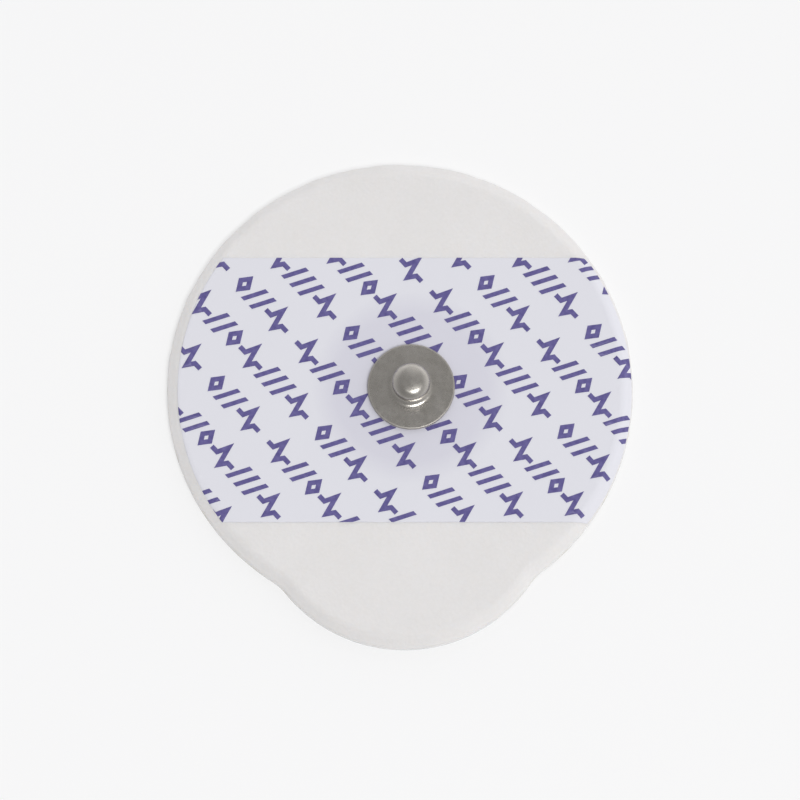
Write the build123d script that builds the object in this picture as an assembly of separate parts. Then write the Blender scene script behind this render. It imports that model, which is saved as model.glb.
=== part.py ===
from build123d import *
import math
import os

# Disposable foam electrode for an ECG lead: a foam disc with a lift tab, a film label across it, and a
# snap stud riveted through the label to a coated sensor, which presses on a gel sponge in the foam's well.
# The skin side is down, on its release liner. The origin is on the stud's axis at the liner's underside,
# +Z runs up through the stud, and -Y points to the lift tab. Sizes are in millimetres.

# Foam pad, in plan
disc_radius = 24.0
disc_centre_x = -1.15
disc_centre_y = 0.0
tab_radius = 15.5
tab_reach = 27.25
tab_shift = 0.45
notch_radius = 5.0

# Layers, from the skin side up
liner_thickness = 0.15
adhesive_thickness = 0.08
foam_thickness = 1.6
edge_bevel_width = 1.0
edge_bevel_drop = 0.8
label_thickness = 0.1
ink_thickness = 0.03

# Well in the foam, the sponge in it, and the tip of the lift tab that has no adhesive
well_radius = 9.0
sponge_gap = 0.5
dry_tip_length = 5.0

# Film label, in plan
label_width = 28.0
label_radius = 23.4
label_shift = 0.48
label_drop = 0.2

# Snap stud, stamped from one sheet
sheet_thickness = 0.25
rim_radius = 4.5
hem_width = 0.55
collar_radius = 0.7
neck_radius = 1.6
neck_length = 0.45
undercut_angle = 45.0
head_radius = 1.975
head_land = 0.6
shoulder_radius = 0.85

# Sensor eyelet, whose post is spread inside the stud's head
eyelet_radius = 4.2
eyelet_thickness = 0.45
post_clearance = 0.05
hole_clearance = 0.1
recess_clearance = 0.05

# Print: slanting rows of small plain marks, in one repeating group
row_pitch = 4.62
row_slant = -47.5
row_stagger = 11.3
mark_height = 2.45
stroke_width = 0.5
mark_gap = 0.22
group_gap = 1.2
beat_width = 3.2
beat_drop = 0.2
lozenge_width = 1.7
slash_width = 1.0
slash_lean = 1.1

# Heights of the layers
adhesive_base = liner_thickness
foam_base = adhesive_base + adhesive_thickness
foam_top = foam_base + foam_thickness
face = foam_top + label_thickness

# Places that follow from the sizes above, and sizes that reach past the whole pad and through every layer
disc_centre = (disc_centre_x, disc_centre_y)
tab_centre = (disc_centre_x + tab_shift, disc_centre_y - tab_reach + tab_radius)
label_centre = (disc_centre_x + label_shift, disc_centre_y - label_drop)
cover_size = 4 * tab_reach
through = 2 * face

# Heights of the stud's outer corners above the label, up from the flange
rim_top = 2 * sheet_thickness
neck_top = rim_top + collar_radius + neck_length
head_base = neck_top + (head_radius - neck_radius) / math.tan(math.radians(undercut_angle))
shoulder_base = head_base + head_land
head_top = shoulder_base + shoulder_radius

# Radius of the eyelet's post
post_radius = neck_radius - sheet_thickness - post_clearance


def pad_outline():
    """Die outline of the pad: the disc and the lift tab, joined by two inner curves tangent to both."""
    disc, tab = Vector(*disc_centre), Vector(*tab_centre)
    down = (tab - disc).normalized()
    sideways = Vector(-down.Y, down.X)
    from_disc, from_tab, apart = disc_radius + notch_radius, tab_radius + notch_radius, (tab - disc).length
    along = (from_disc**2 - from_tab**2 + apart**2) / (2 * apart)
    across = math.sqrt(from_disc**2 - along**2)

    def notch(side):
        """Inner curve on one side, as its ends on the disc and on the tab and its deepest point."""
        centre = disc + down * along + sideways * across * side
        on_disc = disc + (centre - disc) * (disc_radius / from_disc)
        on_tab = tab + (centre - tab) * (tab_radius / from_tab)
        deepest = centre + ((on_disc + on_tab) * 0.5 - centre).normalized() * notch_radius
        return on_disc, deepest, on_tab

    right, left = notch(1), notch(-1)
    edges = [
        ThreePointArc(right[0], disc - down * disc_radius, left[0]),
        ThreePointArc(*left),
        ThreePointArc(left[2], tab + down * tab_radius, right[2]),
        ThreePointArc(*reversed(right)),
    ]
    return make_face(edges)


def foam_blank():
    """The foam before its well is punched, with the upper edge pressed to a bevel by the die."""
    blank = Pos(0, 0, foam_base) * extrude(pad_outline(), foam_thickness)
    top = blank.faces().sort_by(Axis.Z)[-1]
    return chamfer(top.edges(), edge_bevel_width, edge_bevel_drop, reference=top)


def foam_pad():
    """Foam with the round well that holds the gel, under the stud."""
    well = Pos(0, 0, foam_base) * extrude(Circle(well_radius), foam_thickness)
    return foam_blank() - well


def release_liner():
    """Clear film over the whole underside."""
    return extrude(pad_outline(), liner_thickness)


def adhesive_coat():
    """Skin adhesive on the foam's underside, open at the well and left off the tip of the tab."""
    dry_line = disc_centre_y - tab_reach + dry_tip_length
    dry_area = Pos(0, dry_line - cover_size / 2) * Rectangle(cover_size, cover_size)
    coated = pad_outline() - dry_area - Circle(well_radius)
    return Pos(0, 0, adhesive_base) * extrude(coated, adhesive_thickness)


def label_plan():
    """Plan of the label: a straight band across a disc that sits a little to the right of the foam's."""
    band = Pos(*label_centre) * Rectangle(cover_size, label_width)
    return (Pos(*label_centre) * Circle(label_radius)) & band


def film(plan, lift, thickness):
    """A film over a plan area that lies on the foam, lifted off it, and follows its rounded edge."""
    blank = foam_blank()
    column = extrude(plan, through)
    return (Pos(0, 0, lift + thickness) * blank & column) - Pos(0, 0, lift) * blank


def printed_label():
    """Film label, pinched between the stud and the eyelet, with a hole for the eyelet's post."""
    hole = extrude(Circle(post_radius + hole_clearance), through)
    return film(label_plan(), 0, label_thickness) - hole


def gel_sponge():
    """Wet sponge disc in the well, from the liner to the label, with a recess pressed in by the eyelet."""
    disc = Pos(0, 0, adhesive_base) * extrude(Circle(well_radius - sponge_gap), foam_top - adhesive_base)
    recess = Pos(0, 0, foam_top - eyelet_thickness) * extrude(
        Circle(eyelet_radius + recess_clearance), eyelet_thickness
    )
    return disc - recess


def turned(outline):
    """Solid turned about the stud's axis, from a closed outline of radius and height above the label."""
    return Pos(0, 0, face) * revolve(Plane.XZ * make_face(outline), Axis.Z)


def head_cavity(inset):
    """Points up the inside of the neck and the head and in to the axis, set in from the outer line."""
    lift = inset * math.tan(math.radians(undercut_angle) / 2)
    return [
        (neck_radius - inset, neck_top + lift),
        (head_radius - inset, head_base + lift),
        (head_radius - inset, shoulder_base),
        (head_radius - shoulder_radius, head_top - inset),
        (0, head_top - inset),
    ]


def snap_stud():
    """Stamped stud: button head, undercut neck, flared collar, and a flat flange with its rim folded under.

    The collar's inside is a cone that touches the curve one sheet's thickness inside its outside."""
    shoulder = CenterArc((head_radius - shoulder_radius, shoulder_base), shoulder_radius, 0, 90)
    fold_start = rim_radius - rim_top / 2
    fold_reach = rim_radius + rim_top / 6
    fold = Bezier((fold_start, rim_top), (fold_reach, rim_top), (fold_reach, 0), (fold_start, 0))
    outside = FilletPolyline(
        (head_radius, shoulder_base),
        (head_radius, head_base),
        (neck_radius, neck_top),
        (neck_radius, rim_top),
        (fold_start, rim_top),
        radius=(0, 0, collar_radius),
    )
    bore, underside = neck_radius - sheet_thickness, rim_top - sheet_thickness
    flare = (collar_radius + sheet_thickness) * (2 - math.sqrt(2))
    inside = Polyline(
        (fold_start, 0),
        (rim_radius - hem_width, 0),
        (rim_radius - hem_width, underside),
        (bore + flare, underside),
        (bore, underside + flare),
        *head_cavity(sheet_thickness),
        (0, head_top),
        (head_radius - shoulder_radius, head_top),
    )
    return turned([*shoulder.edges(), *outside.edges(), *fold.edges(), *inside.edges()])


def sensor_eyelet():
    """Coated plastic sensor: a flat disc under the label and a post that is spread in the stud's head."""
    disc_top = -label_thickness
    outline = Polyline(
        (0, disc_top - eyelet_thickness),
        (eyelet_radius, disc_top - eyelet_thickness),
        (eyelet_radius, disc_top),
        (post_radius, disc_top),
        *head_cavity(sheet_thickness + post_clearance),
        close=True,
    )
    return turned(outline.edges())


def outlined(shape):
    """A closed shape drawn as a line of one stroke's width, inside its edge."""
    return shape - offset(shape, -stroke_width, kind=Kind.INTERSECTION)


def lozenge():
    """Narrow diamond."""
    side, tip = lozenge_width / 2, mark_height / 2
    return outlined(Polygon((side, 0), (0, tip), (-side, 0), (0, -tip), align=None))


def slash():
    """Leaning bar."""
    lean, half, tip = slash_lean / 2, stroke_width / 2, mark_height / 2
    foot = [(-lean - half, -tip), (half - lean, -tip)]
    return Polygon(*foot, (lean + half, tip), (lean - half, tip), align=None)


def pulse():
    """One beat of a trace: a tall spike and a deep dip between two stretches of rest.

    Each step has its place as a share of the half width, and its height as a share of the half swing."""
    half_width, half_swing = beat_width / 2, (mark_height - stroke_width) / 2
    rest = -beat_drop / half_swing
    steps = [(-1, rest), (-0.5, rest), (-0.2, 1), (0.2, -1), (0.5, rest), (1, rest)]
    points = [(place * half_width, height * half_swing) for place, height in steps]
    return trace(Polyline(*points), stroke_width)


def mark_row():
    """One row's repeating group: each mark with its middle's place in the row, and the group's length."""
    widths = {pulse: beat_width, lozenge: lozenge_width, slash: slash_width}
    group = [pulse, slash, slash, lozenge, pulse, slash, slash, slash, pulse]
    tail = [lozenge, slash, slash, pulse]
    placed, reach = [], 0.0
    for block in (group, tail):
        for make in block:
            placed.append((make, reach + widths[make] / 2))
            reach += widths[make] + mark_gap
        reach += group_gap
    return placed, reach


def print_plan():
    """Marks of all rows, cut off at the label's edges and the stud's rim, with no crumbs left by the cuts."""
    shapes = {make: make() for make in (pulse, lozenge, slash)}
    placed, group_length = mark_row()
    half_span = label_radius + mark_height
    rows = math.ceil(half_span / row_pitch)
    marks = []
    for row in range(-rows, rows + 1):
        first = (row * row_stagger) % group_length
        copies = math.ceil(half_span / group_length) + 1
        for copy in range(-copies, copies):
            for make, middle in placed:
                along = first + copy * group_length + middle
                if math.hypot(along, row * row_pitch) < half_span:
                    marks.append(Pos(along, row * row_pitch) * shapes[make])
    slanted = Pos(*label_centre) * Rot(0, 0, row_slant) * (Sketch() + marks)
    kept = (slanted & label_plan()) - Circle(rim_radius)
    return Sketch() + [area for area in kept.faces() if area.area > stroke_width**2]


def label_print():
    """Ink of the marks, a thin film on the label."""
    ink_layer = film(label_plan(), label_thickness, ink_thickness)
    return ink_layer & extrude(print_plan(), through)


nodes = {
    "release_liner": release_liner(),
    "adhesive_coat": adhesive_coat(),
    "gel_sponge": gel_sponge(),
    "foam_pad": foam_pad(),
    "sensor_eyelet": sensor_eyelet(),
    "printed_label": printed_label(),
    "label_print": label_print(),
    "snap_stud": snap_stud(),
}

os.makedirs("parts", exist_ok=True)
for name, shape in nodes.items():
    export_step(shape, f"parts/{name}.step")
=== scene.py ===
import math
import bmesh
import bpy
import numpy as np
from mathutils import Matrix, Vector


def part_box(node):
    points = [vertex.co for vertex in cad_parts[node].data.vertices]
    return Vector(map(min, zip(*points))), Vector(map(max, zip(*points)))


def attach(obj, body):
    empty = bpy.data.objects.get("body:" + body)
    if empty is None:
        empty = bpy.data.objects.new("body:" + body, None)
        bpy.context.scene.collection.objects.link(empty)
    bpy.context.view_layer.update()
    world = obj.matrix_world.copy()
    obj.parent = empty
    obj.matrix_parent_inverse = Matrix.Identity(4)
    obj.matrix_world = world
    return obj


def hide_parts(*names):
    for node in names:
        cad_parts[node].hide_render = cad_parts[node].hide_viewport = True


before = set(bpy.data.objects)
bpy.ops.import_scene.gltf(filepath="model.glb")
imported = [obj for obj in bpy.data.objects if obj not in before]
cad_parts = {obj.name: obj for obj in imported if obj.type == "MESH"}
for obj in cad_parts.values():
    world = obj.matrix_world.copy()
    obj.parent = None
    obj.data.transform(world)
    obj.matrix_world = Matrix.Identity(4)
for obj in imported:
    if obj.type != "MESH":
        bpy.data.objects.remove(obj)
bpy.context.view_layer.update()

# A disposable foam ECG electrode, lying label side up. Lengths are in millimetres here and become metres in
# the meshes. Plan sizes are those of the solid model, and heights are read from its nodes.
MM = 0.001


def heights(name):
    """Lowest and highest level of a node, in millimetres."""
    low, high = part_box(name)
    return low.z / MM, high.z / MM


disc_radius, tab_radius, notch_radius = 24.0, 15.5, 5.0
disc_centre = np.array([-1.15, 0.0])
tab_centre = disc_centre + np.array([0.45, -11.75])
bevel_width, bevel_drop = 1.0, 0.8
well_radius = 9.0
label_centre = disc_centre + np.array([0.48, -0.2])
label_radius, label_width, label_thickness = 23.4, 28.0, 0.1
liner_base, liner_top = heights("release_liner")
foam_base, foam_top = heights("foam_pad")
stud_base, stud_top = heights("snap_stud")
sponge_base, sponge_top = heights("gel_sponge")
label_face = foam_top + label_thickness

# The foam and the liner stop this far short of the adhesive, and the sponge half as far short of the
# sensor, so that no two faces share a plane.
clearance = 0.01
# The foam's wall runs down to this height above its underside, where its foot begins.
foot_height = 0.3


# Meshes

def added(name, data):
    """New object of a mesh, lamp or camera, in the scene."""
    made = bpy.data.objects.new(name, data)
    bpy.context.scene.collection.objects.link(made)
    return made


def smoothed(name, mesh):
    """New object of a mesh that is shaded smooth, apart from edges that turn by more than 35 degrees."""
    mesh.shade_smooth()
    mesh.set_sharp_from_angle(angle=math.radians(35))
    return added(name, mesh)


def piece(name, points, loop, first_pole=None, last_pole=None):
    """Closed smooth mesh from rows of points, rows x columns x 3, each row a ring round the piece.

    Quads join each row to the next; the last row joins the first where loop is true, and otherwise a fan
    closes each end on its pole."""
    rows, columns = points.shape[:2]
    index = np.arange(rows * columns).reshape(rows, columns)
    lower = index if loop else index[:-1]
    upper = np.roll(index, -1, axis=0) if loop else index[1:]
    quads = np.stack([lower, np.roll(lower, -1, 1), np.roll(upper, -1, 1), upper], -1).reshape(-1, 4)
    vertices = points.reshape(-1, 3)
    corners, sizes = [quads.ravel()], [np.full(len(quads), 4)]
    for pole, ring, turn in ((first_pole, index[0], -1), (last_pole, index[-1], 1)):
        if pole is not None:
            tip = np.full(columns, len(vertices))
            vertices = np.vstack([vertices, np.reshape(pole, (1, 3))])
            fan = np.stack([ring, np.roll(ring, -1), tip][::turn], -1)
            corners.append(fan.ravel())
            sizes.append(np.full(columns, 3))
    corners, sizes = np.concatenate(corners), np.concatenate(sizes)
    mesh = bpy.data.meshes.new(name)
    mesh.vertices.add(len(vertices))
    mesh.vertices.foreach_set("co", (vertices * MM).ravel())
    mesh.loops.add(len(corners))
    mesh.loops.foreach_set("vertex_index", corners)
    mesh.polygons.add(len(sizes))
    mesh.polygons.foreach_set("loop_start", np.concatenate([[0], np.cumsum(sizes)[:-1]]))
    mesh.update(calc_edges=True)
    return smoothed(name, mesh)


def rounded(corners, radii, step):
    """Line through corner points, with each corner swapped for an arc of its radius.

    An arc's centre lies on the corner's bisector, radius / cos(half the turn) away, and its points turn
    evenly from one side's normal to the other's, at most a step of so many degrees apart."""
    corners = np.asarray(corners, float)
    line = [corners[:1]]
    for before, here, after, radius in zip(corners[:-2], corners[1:-1], corners[2:], radii):
        way_in = (here - before) / np.linalg.norm(here - before)
        way_out = (after - here) / np.linalg.norm(after - here)
        turn = math.atan2(way_in[0] * way_out[1] - way_in[1] * way_out[0], way_in @ way_out)
        if radius == 0 or abs(turn) < 1e-6:
            line.append(here[None])
            continue
        side = math.copysign(1, turn)
        start = here - way_in * radius * math.tan(abs(turn) / 2)
        centre = start + side * radius * np.array([-way_in[1], way_in[0]])
        swept = np.linspace(0, turn, max(2, math.ceil(math.degrees(abs(turn)) / step)) + 1)
        spoke = start - centre
        line.append(centre + np.stack([spoke[0] * np.cos(swept) - spoke[1] * np.sin(swept),
                                       spoke[0] * np.sin(swept) + spoke[1] * np.cos(swept)], -1))
    line.append(corners[-1:])
    return np.concatenate(line)


def divided(line, longest):
    """The same line with points added so that no run is longer than given, spaced evenly in each run."""
    runs = np.linalg.norm(np.diff(line, axis=0), axis=1)
    parts = np.maximum(1, np.ceil(runs / longest)).astype(int)
    place = np.concatenate([np.arange(n) / n + i for i, n in enumerate(parts)] + [[len(runs)]])
    return np.stack([np.interp(place, np.arange(len(line)), line[:, k]) for k in range(line.shape[1])], -1)


def turned(name, profile, columns):
    """Surface of revolution: a profile point (r, z) makes a ring at height z, x = r cos a, y = r sin a.

    The profile starts and ends on the axis, and runs from the upper pole over the outside to the lower."""
    angle = np.linspace(0, math.tau, columns, endpoint=False)
    radius, height = profile[1:-1, 0, None], profile[1:-1, 1, None]
    rings = np.stack([radius * np.cos(angle), radius * np.sin(angle), height + 0 * angle], -1)
    return piece(name, rings[:, ::-1], False, (0, 0, profile[0, 1]), (0, 0, profile[-1, 1]))


def pad_outline(spacing):
    """Die line of the pad, anticlockwise, as points and outward normals.

    The disc and the tab are arcs of circles, and each notch is an arc outside both, tangent to them: its
    centre is one disc radius plus one notch radius from the disc's centre, and the same with the tab's."""
    axis = tab_centre - disc_centre
    apart = np.linalg.norm(axis)
    down, right = axis / apart, np.array([-axis[1], axis[0]]) / apart
    far, near = disc_radius + notch_radius, tab_radius + notch_radius
    along = (far**2 - near**2 + apart**2) / (2 * apart)
    across = math.sqrt(far**2 - along**2)
    notches = [disc_centre + down * along + right * across * side for side in (1, -1)]

    def bearing(centre, point):
        return math.atan2(point[1] - centre[1], point[0] - centre[0])

    def least(turn):
        return (turn + math.pi) % math.tau - math.pi

    disc_ends = [bearing(disc_centre, notch) for notch in notches]
    tab_ends = [bearing(tab_centre, notch) for notch in notches]
    arcs = [
        (disc_centre, disc_radius, disc_ends[0], (disc_ends[1] - disc_ends[0]) % math.tau, 1),
        (notches[1], notch_radius, disc_ends[1] + math.pi, least(tab_ends[1] - disc_ends[1]), -1),
        (tab_centre, tab_radius, tab_ends[1], (tab_ends[0] - tab_ends[1]) % math.tau, 1),
        (notches[0], notch_radius, tab_ends[0] + math.pi, least(disc_ends[0] - tab_ends[0]), -1),
    ]
    points, normals = [], []
    for centre, radius, start, sweep, side in arcs:
        steps = max(8, round(abs(sweep) * radius / spacing))
        angle = start + sweep * np.arange(steps) / steps
        spoke = np.stack([np.cos(angle), np.sin(angle)], -1)
        points.append(centre + radius * spoke)
        normals.append(side * spoke)
    return np.concatenate(points), np.concatenate(normals)


def bevel_line():
    """Section of the foam's upper edge, as inset from the die line and height: wall, bevel, level top.

    The bevel's lower corner is the tighter one, and its upper one is as soft as the die leaves it."""
    lower_round, upper_round, level_inset = 0.5, 1.2, 2.2
    corners = [(0, foam_base + foot_height), (0, foam_top - bevel_drop), (bevel_width, foam_top),
               (level_inset, foam_top)]
    return rounded(corners, [lower_round, upper_round], step=3)


def foam_height(inset):
    """Height of the foam's top at a distance inside the die line, read off the edge's section."""
    line = bevel_line()
    return np.interp(inset, line[:, 0], line[:, 1])


def foam_pad():
    """Closed ring of foam between the round well and the die line.

    Outside, a ring lies at each inset and height of the edge's section, shifted inward along the normals.
    The top and the underside blend in a straight line from the die line to the well's circle, as
    (1 - s) edge + s well. The die line wavers by a few hundredths, the sum of three sines along it."""
    outline, normal = pad_outline(spacing=0.22)
    turn = np.linspace(0, math.tau, len(outline), endpoint=False)
    waver = 0.02 * np.sin(23 * turn + 1) + 0.015 * np.sin(41 * turn) + 0.01 * np.sin(67 * turn + 2)
    outline = outline + normal * waver[:, None]
    base, foot_inset, foot_radius = foam_base + clearance, 0.6, 0.05
    foot = rounded([(foot_inset, base), (0, base), (0, foam_base + foot_height)], [foot_radius], step=15)
    edge = np.concatenate([foot[:-1], divided(bevel_line(), 0.15)])
    outer = [np.column_stack([outline - normal * inset, np.full(len(outline), level)])
             for inset, level in edge]

    def across(ring, level, shares):
        rim = ring[:, :2]
        well = well_radius * rim / np.linalg.norm(rim, axis=1, keepdims=True)
        return [np.column_stack([(1 - s) * rim + s * well, np.full(len(rim), level)]) for s in shares]

    top = across(outer[-1], foam_top, np.linspace(0, 1, 40)[1:])
    wall = [np.column_stack([top[-1][:, :2], np.full(len(outline), level)])
            for level in np.linspace(foam_top, base, 7)[1:-1]]
    under = across(outer[0], base, np.linspace(1, 0, 16)[:-1])
    return piece("foam_disc", np.stack(outer + top + wall + under), True)


def label_film():
    """Film label, a closed ring between the hole for the post and the cut edge.

    The cut edge is a circle with a straight line across above and below. Rings lie at shares of the way
    from the hole to the edge, closer within 2.4 mm of it, and each point's height is the foam's height
    under it, plus the film. The last 0.05 mm of the film's top drops by as much, as a cut rounds it."""
    post_hole, edge_round, edge_zone = 1.4, 0.05, 2.4
    half = label_width / 2
    corner = math.asin(half / label_radius)
    side = np.linspace(-corner, corner, 150, endpoint=False)
    line = np.linspace(math.cos(corner), -math.cos(corner), 170, endpoint=False) * label_radius
    right = label_radius * np.stack([np.cos(side), np.sin(side)], -1)
    top = np.stack([line, np.full(len(line), half)], -1)
    edge = label_centre + np.concatenate([right, top, -right, -top])
    hole = post_hole * edge / np.linalg.norm(edge, axis=1, keepdims=True)
    reach = np.linalg.norm(edge - hole, axis=1)[:, None]
    gaps = np.concatenate([[0, edge_round], np.linspace(2 * edge_round, edge_zone, 40)])
    shares = [np.clip(1 - gap / reach, 0, 1) for gap in gaps]
    shares += [shares[-1] * s for s in np.linspace(1, 0, 20)[1:]]
    plan = np.stack([hole + (edge - hole) * s for s in shares])
    inset = disc_radius - np.linalg.norm(plan - disc_centre, axis=2)
    level = foam_height(inset)[..., None]
    upper = np.concatenate([plan, level + label_thickness], -1)
    upper[0, :, 2] -= edge_round
    lower = np.concatenate([plan, level], -1)
    return piece("label_film", np.concatenate([upper, lower[::-1]]), True)


def ink_marks():
    """Marks of ink laid on the film: the solid's marks, cut finer round the pad's edge and bent with it.

    Near the edge every mesh edge longer than 0.25 mm is halved, four times over. Then each point is lowered
    by as much as the rounded bevel lies below a straight one at the same inset."""
    longest, bend_width, weld, sliver = 0.25 * MM, 1.6, 0.001 * MM, 0.005 * MM
    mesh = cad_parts["label_print"].data.copy()
    mesh.name = "ink_marks"
    mesh.materials.clear()
    work = bmesh.new()
    work.from_mesh(mesh)
    bmesh.ops.remove_doubles(work, verts=work.verts, dist=weld)
    middle, level_radius = Vector(disc_centre) * MM, (disc_radius - bend_width) * MM
    for _ in range(4):
        coarse = [edge for edge in work.edges if edge.calc_length() > longest
                  and max((end.co.xy - middle).length for end in edge.verts) > level_radius]
        bmesh.ops.subdivide_edges(work, edges=coarse, cuts=1)
        bmesh.ops.triangulate(work, faces=work.faces)
    bmesh.ops.dissolve_degenerate(work, dist=sliver, edges=work.edges)
    bmesh.ops.triangulate(work, faces=work.faces)
    work.to_mesh(mesh)
    work.free()
    points = np.empty(3 * len(mesh.vertices))
    mesh.vertices.foreach_get("co", points)
    points = points.reshape(-1, 3)
    inset = disc_radius - np.linalg.norm(points[:, :2] / MM - disc_centre, axis=1)
    straight = foam_top - bevel_drop * np.clip(1 - inset / bevel_width, 0, 1)
    points[:, 2] += (foam_height(inset) - straight) * MM
    mesh.vertices.foreach_set("co", points.ravel())
    return smoothed("ink_marks", mesh)


def stamped_stud():
    """Snap stud turned from its sheet's section: outside from the crown down to the hem, then up inside.

    The crown is a low dome, a parabola of the radius that fades out down the shoulder. The web rises a
    little from the folded rim to the collar, and the rim is pressed squarer above than below."""
    sheet, rim_top = 0.25, 0.5
    rim, hem, collar, flare = 4.5, 3.95, 0.7, 0.56
    neck, head = 1.6, 1.975
    neck_top, head_base, head_top = 1.65, 2.025, stud_top - stud_base
    shoulder, dome, rise = 0.85, 0.32, 0.1
    bore, head_bore, web_base = neck - sheet, head - sheet, rim_top - sheet
    # The sheet's wall puts the undercut's corners this much higher inside than outside.
    inner_lift = 0.1
    # Each corner is its radius, its height and how far it is rounded.
    section = np.array([
        (0, head_top, 0), (head, head_top, shoulder), (head, head_base, 0.14), (neck, neck_top, 0.3),
        (neck, rim_top + rise, collar), (rim, rim_top, 0.13), (rim, 0, 0.24), (hem, 0, 0.04),
        (hem, web_base, 0.03), (bore + flare, web_base + rise, 0.3), (bore, web_base + rise + flare, 0.3),
        (bore, neck_top + inner_lift, 0), (head_bore, head_base + inner_lift, 0),
        (head_bore, head_top - shoulder, 0), (head - shoulder, head_top - sheet, 0),
        (0, head_top - sheet, 0),
    ])
    profile = divided(rounded(section[:, :2], section[1:-1, 2], step=5), 0.12)
    on_head = np.clip((profile[:, 1] - head_top + shoulder) / shoulder, 0, 1)
    profile[:, 1] -= dome * (profile[:, 0] / head) ** 2 * on_head
    profile[:, 1] += stud_base
    return turned("stamped_stud", profile, columns=256)


def sponge_disc():
    """Wet sponge in the well, turned, with the recess that the sensor presses into it."""
    outer, recess, depth, top = 8.5, 4.25, 0.45, sponge_top - clearance / 2
    corners = [(0, sponge_top - depth), (recess, sponge_top - depth), (recess, top), (outer, top),
               (outer, sponge_base), (0, sponge_base)]
    section = rounded(corners, [0.05, 0.1, 0.25, 0.25], step=7.5)
    return turned("sponge_disc", divided(section, 0.4), columns=128)


def liner_sheet():
    """Clear film under the whole pad: the die line, filled on both faces from its edge in to its middle."""
    outline, normal = pad_outline(spacing=0.4)
    middle = disc_centre + np.array([0.0, -4.0])
    top, base = liner_top - clearance, liner_base
    rings = [np.column_stack([middle + (outline - middle) * share, np.full(len(outline), level)])
             for share, level in [(s, base) for s in np.linspace(0.05, 1, 20)]
             + [(s, top) for s in np.linspace(1, 0.05, 20)]]
    return piece("liner_sheet", np.stack(rings), False, (*middle, base), (*middle, top))


# Materials

def linear(code):
    """Linear colour of an sRGB hex code such as "#c8b8a0"."""
    value = np.array([int(code[i:i + 2], 16) for i in (1, 3, 5)]) / 255
    value = np.where(value <= 0.04045, value / 12.92, ((value + 0.055) / 1.055) ** 2.4)
    return (*value.tolist(), 1.0)


def per_mm(size):
    """Scale of a pattern whose features are this many millimetres wide."""
    return 1 / (size * MM)


def wire(target, links):
    """Joins outputs of other nodes to a node's sockets, which are given by name or by place."""
    for socket, output in links.items():
        target.id_data.links.new(output, target.inputs[socket])


def node(tree, kind, settings=(), links=()):
    """Adds a node with its settings and its links.

    A setting is a property of the node, or else a socket by name or place, and "stops" are the places and
    the hex colours of a colour ramp."""
    made = tree.nodes.new(kind)
    for key, value in dict(settings).items():
        if key == "stops":
            for element, (place, code) in zip(made.color_ramp.elements, value):
                element.position, element.color = place, linear(code)
        elif hasattr(made, str(key)):
            setattr(made, key, value)
        else:
            made.inputs[key].default_value = value
    wire(made, dict(links))
    return made


def surface(name, settings):
    """A new material, its node tree and its Principled shader, with plain values on the shader's inputs."""
    made = bpy.data.materials.new(name)
    made.use_nodes = True
    shader = made.node_tree.nodes["Principled BSDF"]
    for socket, value in settings.items():
        shader.inputs[socket].default_value = value
    return made, made.node_tree, shader


def from_axis(tree, where):
    """Output that holds each point's distance from the stud's axis, in metres."""
    flat = node(tree, "ShaderNodeMapping", {"Scale": (1, 1, 0)}, where)
    away = node(tree, "ShaderNodeVectorMath", {"operation": "LENGTH"}, {0: flat.outputs[0]})
    return away.outputs["Value"]


def foam_material():
    """Closed-cell polyethylene foam, split and die-cut: matt and milky, with fine cells that hold shade."""
    made, tree, shader = surface("closed_cell_pe_foam", {
        "Roughness": 0.85, "IOR": 1.5, "Specular IOR Level": 0.25, "Sheen Weight": 0.08,
        "Subsurface Weight": 0.25, "Subsurface Scale": 0.6 * MM, "Subsurface Radius": (1.0, 0.9, 0.8),
    })
    where = {"Vector": node(tree, "ShaderNodeTexCoord").outputs["Object"]}
    cloud = node(tree, "ShaderNodeTexNoise", {"Scale": per_mm(5), "Detail": 3}, where)
    grain = node(tree, "ShaderNodeTexNoise", {"Scale": per_mm(0.35), "Detail": 3}, where)
    both = node(tree, "ShaderNodeMix", {"data_type": "FLOAT", 0: 0.5},
                {2: cloud.outputs[0], 3: grain.outputs[0]})
    tone = node(tree, "ShaderNodeValToRGB", {"stops": [(0.3, "#e3e1df"), (0.7, "#e8e6e5")]},
                {0: both.outputs[0]})
    sag = node(tree, "ShaderNodeTexNoise", {"Scale": per_mm(3)}, where)
    swell = node(tree, "ShaderNodeBump", {"Distance": 0.03 * MM}, {"Height": sag.outputs[0]})
    cells = node(tree, "ShaderNodeTexVoronoi",
                 {"feature": "SMOOTH_F1", "Scale": per_mm(0.32), "Smoothness": 0.6}, where)
    pores = node(tree, "ShaderNodeBump", {"Strength": 0.5, "Distance": 0.035 * MM},
                 {"Height": cells.outputs["Distance"], "Normal": swell.outputs[0]})
    wire(shader, {"Base Color": tone.outputs[0], "Normal": pores.outputs[0]})
    return made


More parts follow.
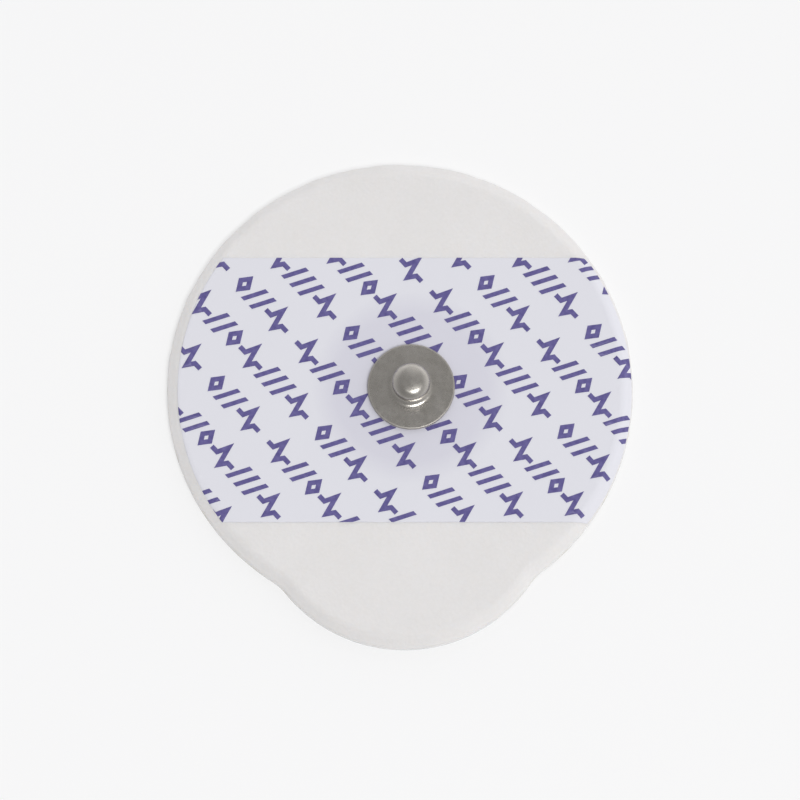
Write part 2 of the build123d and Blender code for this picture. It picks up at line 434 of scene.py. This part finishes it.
def film_material():
    """Matt-coated polypropylene label film: smooth, cool white, a soft sheen, with painted shade over the
    open well.
    """
    made, tree, shader = surface("label_pp_film", {
        "Roughness": 0.42, "IOR": 1.49, "Specular IOR Level": 0.4,
    })
    where = {"Vector": node(tree, "ShaderNodeTexCoord").outputs["Object"]}
    fade = 1.2
    inner, outer = (well_radius - fade) * MM, (well_radius + fade) * MM
    # Painted shade: the film's tone darkens inside the well's edge, blending over 1.2 mm either side of it.
    # The noise adds random tone on top.
    far = node(tree, "ShaderNodeMapRange", {"From Min": inner, "From Max": outer, "To Max": 0.85},
               {"Value": from_axis(tree, where)})
    cloud = node(tree, "ShaderNodeTexNoise", {"Scale": per_mm(6)}, where)
    shade = node(tree, "ShaderNodeMath", {"operation": "MULTIPLY_ADD", 1: 0.15},
                 {0: cloud.outputs[0], 2: far.outputs[0]})
    tone = node(tree, "ShaderNodeValToRGB", {"stops": [(0, "#d6d5df"), (1, "#e2e2e8")]},
                {0: shade.outputs[0]})
    slack = node(tree, "ShaderNodeTexNoise", {"Scale": per_mm(4)}, where)
    swell = node(tree, "ShaderNodeBump", {"Distance": 0.05 * MM}, {"Height": slack.outputs[0]})
    coat = node(tree, "ShaderNodeTexNoise", {"Scale": per_mm(0.25)}, where)
    matt = node(tree, "ShaderNodeBump", {"Strength": 0.6, "Distance": 0.004 * MM},
                {"Height": coat.outputs[0], "Normal": swell.outputs[0]})
    wire(shader, {"Base Color": tone.outputs[0], "Normal": matt.outputs[0]})
    return made


def ink_material():
    """Flexographic ink on film: violet-blue, thin, mottled where the plate gave less ink."""
    made, tree, shader = surface("violet_flexo_ink", {"Roughness": 0.45, "IOR": 1.5})
    where = {"Vector": node(tree, "ShaderNodeTexCoord").outputs["Object"]}
    mottle = node(tree, "ShaderNodeTexNoise", {"Scale": per_mm(0.5), "Detail": 3}, where)
    tone = node(tree, "ShaderNodeValToRGB", {"stops": [(0.3, "#504884"), (0.75, "#6b649c")]},
                {0: mottle.outputs[0]})
    grain = node(tree, "ShaderNodeTexNoise", {"Scale": per_mm(0.12)}, where)
    rough = node(tree, "ShaderNodeBump", {"Distance": 0.004 * MM}, {"Height": grain.outputs[0]})
    wire(shader, {"Base Color": tone.outputs[0], "Normal": rough.outputs[0]})
    return made


def stud_material():
    """Nickel-plated steel, stamped and tumbled: satin grey with fine marks, and rubbed matt at its rim."""
    made, tree, shader = surface("tumbled_nickel_plate", {"Metallic": 1.0})
    where = {"Vector": node(tree, "ShaderNodeTexCoord").outputs["Object"]}
    stain = node(tree, "ShaderNodeTexNoise", {"Scale": per_mm(1.6), "Detail": 3}, where)
    tone = node(tree, "ShaderNodeValToRGB", {"stops": [(0.3, "#a7a39c"), (0.7, "#b3afa9")]},
                {0: stain.outputs[0]})
    wear = node(tree, "ShaderNodeTexNoise", {"Scale": per_mm(0.45), "Detail": 3}, where)
    satin = node(tree, "ShaderNodeMapRange",
                 {"From Min": 0.3, "From Max": 0.7, "To Min": 0.24, "To Max": 0.31},
                 {"Value": wear.outputs[0]})
    inner, outer = 4.3 * MM, 4.45 * MM
    rubbed = node(tree, "ShaderNodeMapRange", {"From Min": inner, "From Max": outer, "To Max": 0.25},
                  {"Value": from_axis(tree, where)})
    matt = node(tree, "ShaderNodeMath", {"operation": "ADD"}, {0: satin.outputs[0], 1: rubbed.outputs[0]})
    knocks = node(tree, "ShaderNodeTexNoise", {"Scale": per_mm(0.6)}, where)
    dents = node(tree, "ShaderNodeBump", {"Distance": 0.006 * MM}, {"Height": knocks.outputs[0]})
    rub = node(tree, "ShaderNodeTexNoise", {"Scale": per_mm(0.09)}, where)
    marks = node(tree, "ShaderNodeBump", {"Distance": 0.0012 * MM},
                 {"Height": rub.outputs[0], "Normal": dents.outputs[0]})
    wire(shader, {"Base Color": tone.outputs[0], "Roughness": matt.outputs[0], "Normal": marks.outputs[0]})
    return made


def sensor_material():
    """ABS disc with a silver and silver chloride coat: dull warm grey with a powdery surface."""
    made, tree, shader = surface("silver_chloride_coat", {"Roughness": 0.6, "Metallic": 0.3})
    where = {"Vector": node(tree, "ShaderNodeTexCoord").outputs["Object"]}
    patches = node(tree, "ShaderNodeTexNoise", {"Scale": per_mm(0.7), "Detail": 3}, where)
    tone = node(tree, "ShaderNodeValToRGB", {"stops": [(0.3, "#8f8c86"), (0.7, "#a19e98")]},
                {0: patches.outputs[0]})
    powder = node(tree, "ShaderNodeTexNoise", {"Scale": per_mm(0.15)}, where)
    rough = node(tree, "ShaderNodeBump", {"Distance": 0.005 * MM}, {"Height": powder.outputs[0]})
    wire(shader, {"Base Color": tone.outputs[0], "Normal": rough.outputs[0]})
    return made


def sponge_material():
    """Reticulated polyurethane sponge soaked with gel: pale, open cells under a wet shine."""
    made, tree, shader = surface("gel_soaked_sponge", {
        "Roughness": 0.35, "IOR": 1.35, "Coat Weight": 0.6, "Coat Roughness": 0.08,
        "Subsurface Weight": 0.2, "Subsurface Scale": 1.0 * MM,
    })
    where = {"Vector": node(tree, "ShaderNodeTexCoord").outputs["Object"]}
    cells = node(tree, "ShaderNodeTexVoronoi", {"Scale": per_mm(0.6)}, where)
    tone = node(tree, "ShaderNodeValToRGB", {"stops": [(0.1, "#b9c4b6"), (0.6, "#dde3d8")]},
                {0: cells.outputs["Distance"]})
    pores = node(tree, "ShaderNodeBump", {"Strength": 0.7, "Distance": 0.12 * MM},
                 {"Height": cells.outputs["Distance"]})
    wire(shader, {"Base Color": tone.outputs[0], "Normal": pores.outputs[0]})
    return made


def adhesive_material():
    """Acrylic pressure-sensitive adhesive: a tacky, faintly yellow coat with streaks and a wet gloss."""
    made, tree, shader = surface("acrylic_adhesive", {"Roughness": 0.25, "IOR": 1.48})
    where = {"Vector": node(tree, "ShaderNodeTexCoord").outputs["Object"]}
    drawn = node(tree, "ShaderNodeMapping", {"Scale": (1, 0.08, 1)}, where)
    streaks = node(tree, "ShaderNodeTexNoise", {"Scale": per_mm(0.5)}, {"Vector": drawn.outputs[0]})
    tone = node(tree, "ShaderNodeValToRGB", {"stops": [(0.3, "#dcd8c8"), (0.7, "#e6e3d6")]},
                {0: streaks.outputs[0]})
    ridges = node(tree, "ShaderNodeBump", {"Distance": 0.01 * MM}, {"Height": streaks.outputs[0]})
    wire(shader, {"Base Color": tone.outputs[0], "Normal": ridges.outputs[0]})
    return made


def liner_material():
    """Siliconised PET film: clear, glossy, with a faint haze."""
    made, tree, shader = surface("clear_pet_liner", {"Roughness": 0.12, "IOR": 1.57, "Alpha": 0.35})
    where = {"Vector": node(tree, "ShaderNodeTexCoord").outputs["Object"]}
    haze = node(tree, "ShaderNodeTexNoise", {"Scale": per_mm(4)}, where)
    tone = node(tree, "ShaderNodeValToRGB", {"stops": [(0.3, "#e3e8ea"), (0.7, "#edf1f2")]},
                {0: haze.outputs[0]})
    waves = node(tree, "ShaderNodeTexNoise", {"Scale": per_mm(3), "Detail": 1}, where)
    wavy = node(tree, "ShaderNodeBump", {"Distance": 0.02 * MM}, {"Height": waves.outputs[0]})
    wire(shader, {"Base Color": tone.outputs[0], "Normal": wavy.outputs[0]})
    return made


# The dressed part

def dress(made, material, replaced):
    """Gives a new piece its material, puts it in its node's place and fixes it to the one body."""
    made.data.materials.append(material)
    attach(made, "root")
    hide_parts(replaced)
    return made


foam = dress(foam_pad(), foam_material(), "foam_pad")
sponge = dress(sponge_disc(), sponge_material(), "gel_sponge")
dress(label_film(), film_material(), "printed_label")
dress(ink_marks(), ink_material(), "label_print")
dress(stamped_stud(), stud_material(), "snap_stud")
dress(liner_sheet(), liner_material(), "release_liner")

for name, material in (("sensor_eyelet", sensor_material()), ("adhesive_coat", adhesive_material())):
    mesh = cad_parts[name].data
    mesh.materials.clear()
    mesh.materials.append(material)


# Stage, light and camera

def stage_floor():
    """Light table under the part: a wide level square of opal acrylic, lit from below to drown shadows.

    It reaches 3 m each way and lies 0.02 mm under the liner. Its corners are in metres."""
    opal = {"Roughness": 0.9, "Specular IOR Level": 0.1, "Base Color": linear("#a8a8a8"),
            "Emission Color": linear("#ffffff"), "Emission Strength": 0.55}
    made = surface("opal_light_table", opal)[0]
    reach, level = 3, -0.00002
    mesh = bpy.data.meshes.new("floor")
    signs = [(-1, -1), (1, -1), (1, 1), (-1, 1)]
    mesh.from_pydata([(x * reach, y * reach, level) for x, y in signs], [], [(0, 1, 2, 3)])
    mesh.materials.append(made)
    added("floor", mesh)


def aimed(name, data, target, way, distance):
    """Lamp or camera that stands off from its target by a distance in metres, and looks back at it."""
    made = added(name, data)
    made.location = target + way * distance
    made.rotation_mode = "QUATERNION"
    made.rotation_quaternion = way.to_track_quat("Z", "Y")
    return made


def soft_light(name, direction, size, power):
    """Round soft lamp 1.5 m from the part and aimed at it, its width in metres and its power in watts."""
    lamp = bpy.data.lights.new(name, "AREA")
    lamp.shape, lamp.size, lamp.energy = "DISK", size, power
    aimed(name, lamp, Vector(), Vector(direction).normalized(), distance=1.5)


def studio_light():
    """Pale studio all round: brightest near the horizon at the back right, with a greyer ceiling.

    A soft lamp in front gives the crown its highlight, and a weak one behind lifts the far shoulder."""
    world = bpy.data.worlds.new("studio")
    bpy.context.scene.world = world
    world.use_nodes = True
    tree = world.node_tree
    way = node(tree, "ShaderNodeTexCoord").outputs["Generated"]
    height = node(tree, "ShaderNodeSeparateXYZ", (), {0: way})
    rise = node(tree, "ShaderNodeMapRange", {"To Min": 1.1, "To Max": 0.41}, {"Value": height.outputs["Z"]})
    turn = node(tree, "ShaderNodeVectorMath", {"operation": "DOT_PRODUCT", 1: (0.55, 0.83, 0)}, {0: way})
    side = node(tree, "ShaderNodeMapRange", {"From Min": -1, "To Min": 0.5, "To Max": 1.35},
                {"Value": turn.outputs["Value"]})
    total = node(tree, "ShaderNodeMath", {"operation": "MULTIPLY"},
                 {0: rise.outputs[0], 1: side.outputs[0]})
    backdrop = tree.nodes["Background"]
    backdrop.inputs["Color"].default_value = linear("#fdfdff")
    wire(backdrop, {"Strength": total.outputs[0]})
    soft_light("front_light", (0.2, -0.36, 0.91), size=0.55, power=9.4)
    soft_light("back_light", (0.1, 0.62, 0.78), size=0.7, power=0.35)


def photo_camera():
    """Long lens on the tab's side, 76.4 degrees up, framed so that one millimetre is 9.711 of 800 pixels.

    The disc's centre, taken at the label's face, lies in the picture's middle column, at row 387.6."""
    elevation, distance, scale = math.radians(76.4), 1.0, 9.711
    pixels, centre_row = 800, 387.6
    back = Vector((0, -math.cos(elevation), math.sin(elevation)))
    up = Vector((0, math.sin(elevation), math.cos(elevation)))
    middle = Vector((*disc_centre, label_face)) * MM - up * (pixels / 2 - centre_row) / scale * MM
    lens = bpy.data.cameras.new("photo_camera")
    lens.sensor_width = 36.0
    lens.lens = lens.sensor_width * distance / (pixels / scale * MM)
    lens.clip_start, lens.clip_end = 0.01, 20.0
    bpy.context.scene.camera = aimed("photo_camera", lens, middle, back, distance)


stage_floor()
studio_light()
photo_camera()
bpy.context.scene.view_settings.view_transform = "Standard"
